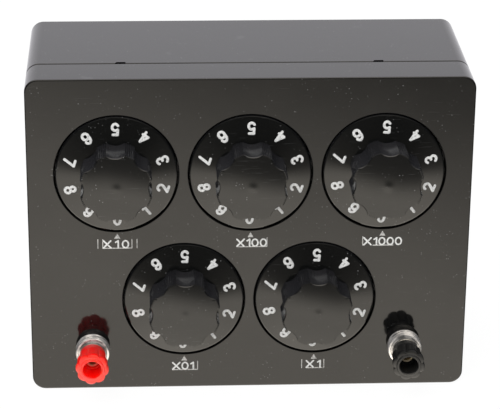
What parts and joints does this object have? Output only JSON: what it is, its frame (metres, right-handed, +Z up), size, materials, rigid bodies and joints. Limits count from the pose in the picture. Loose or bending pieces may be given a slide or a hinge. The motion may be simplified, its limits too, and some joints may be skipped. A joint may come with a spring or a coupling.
{
  "type": "decade resistance box",
  "caption": "Decade resistance box: numbered scalloped dials set flush in a glossy two-part case, with red and black binding posts.",
  "frame": {"origin": "middle of the whole object's footprint, on the surface that the box stands on", "axes": "+X to the right along the panel, +Y from the panel into the box, +Z up"},
  "size_m": [0.2, 0.104, 0.152],
  "materials": {
    "case_plastic": "glossy black moulded plastic with fine scratches and dust",
    "dial_plastic": "black moulded plastic, satin to glossy",
    "print_white": "white filled numerals and printed marks",
    "cap_red": "signal red moulded plastic, semi-gloss",
    "cap_black": "black moulded plastic, semi-gloss",
    "nickel": "bright turned nickel plate",
    "brass": "turned brass",
    "steel": "zinc-plated steel",
    "aluminium": "plain sheet and bar",
    "switch_plastic": "dark moulded plastic",
    "wafer_board": "brown phenolic board",
    "resistor_coat": "tan lacquer",
    "wire_sleeve": "blue insulation"
  },
  "bodies": {
    "case": {"front_cover": "case_plastic", "rear_case": "case_plastic", "case_screw_1": "steel", "case_screw_2": "steel", "case_screw_3": "steel", "case_screw_4": "steel", "switch_plate": "aluminium", "switch_housing_x10": "switch_plastic", "switch_nut_x10": "nickel", "contact_wafer_x10": "wafer_board", "resistor_chain_x10": "resistor_coat", "switch_housing_x100": "switch_plastic", "switch_nut_x100": "nickel", "contact_wafer_x100": "wafer_board", "resistor_chain_x100": "resistor_coat", "switch_housing_x1000": "switch_plastic", "switch_nut_x1000": "nickel", "contact_wafer_x1000": "wafer_board", "resistor_chain_x1000": "resistor_coat", "switch_housing_x01": "switch_plastic", "switch_nut_x01": "nickel", "contact_wafer_x01": "wafer_board", "resistor_chain_x01": "resistor_coat", "switch_housing_x1": "switch_plastic", "switch_nut_x1": "nickel", "contact_wafer_x1": "wafer_board", "resistor_chain_x1": "resistor_coat", "link_wire_1": "wire_sleeve", "link_wire_2": "wire_sleeve", "link_wire_3": "wire_sleeve", "link_wire_4": "wire_sleeve", "terminal_collar_red": "nickel", "terminal_stud_red": "brass", "terminal_nut_red": "nickel", "terminal_lead_red": "wire_sleeve", "terminal_collar_black": "nickel", "terminal_stud_black": "brass", "terminal_nut_black": "nickel", "terminal_lead_black": "wire_sleeve"},
    "dial_x10": {"dial_x10": "dial_plastic", "switch_shaft_x10": "aluminium", "rotor_contact_x10": "brass"},
    "dial_x100": {"dial_x100": "dial_plastic", "switch_shaft_x100": "aluminium", "rotor_contact_x100": "brass"},
    "dial_x1000": {"dial_x1000": "dial_plastic", "switch_shaft_x1000": "aluminium", "rotor_contact_x1000": "brass"},
    "dial_x01": {"dial_x01": "dial_plastic", "switch_shaft_x01": "aluminium", "rotor_contact_x01": "brass"},
    "dial_x1": {"dial_x1": "dial_plastic", "switch_shaft_x1": "aluminium", "rotor_contact_x1": "brass"},
    "washer_red": {"pressure_washer_red": "nickel"},
    "washer_black": {"pressure_washer_black": "nickel"},
    "cap_red": {"terminal_cap_red": "cap_red"},
    "cap_black": {"terminal_cap_black": "cap_black"}
  },
  "joints": [
    {"name": "dial_x10_turn", "type": "hinge", "parent": "case", "child": "dial_x10", "pos_m": [-0.06, -0.03, 0.107], "axis": [0, 1, 0], "range_deg": [0, 324]},
    {"name": "dial_x100_turn", "type": "hinge", "parent": "case", "child": "dial_x100", "pos_m": [0, -0.03, 0.107], "axis": [0, 1, 0], "range_deg": [0, 324]},
    {"name": "dial_x1000_turn", "type": "hinge", "parent": "case", "child": "dial_x1000", "pos_m": [0.06, -0.03, 0.107], "axis": [0, 1, 0], "range_deg": [0, 324]},
    {"name": "dial_x01_turn", "type": "hinge", "parent": "case", "child": "dial_x01", "pos_m": [-0.03, -0.03, 0.045], "axis": [0, 1, 0], "range_deg": [0, 324]},
    {"name": "dial_x1_turn", "type": "hinge", "parent": "case", "child": "dial_x1", "pos_m": [0.03, -0.03, 0.045], "axis": [0, 1, 0], "range_deg": [0, 324]},
    {"name": "washer_red_travel", "type": "slide", "parent": "case", "child": "washer_red", "axis": [0, -1, 0], "range_m": [0, 0.004]},
    {"name": "cap_red_turn", "type": "hinge", "parent": "washer_red", "child": "cap_red", "pos_m": [-0.072, -0.03, 0.0204], "axis": [0, -1, 0], "range_deg": [0, 1440]},
    {"name": "washer_black_travel", "type": "slide", "parent": "case", "child": "washer_black", "axis": [0, -1, 0], "range_m": [0, 0.004]},
    {"name": "cap_black_turn", "type": "hinge", "parent": "washer_black", "child": "cap_black", "pos_m": [0.072, -0.03, 0.0204], "axis": [0, -1, 0], "range_deg": [0, 1440]}
  ],
  "couplings": [
    {"joint": "cap_red_turn", "follows": "washer_red_travel", "rad_per_m": 6283.2},
    {"joint": "cap_black_turn", "follows": "washer_black_travel", "rad_per_m": 6283.2}
  ]
}
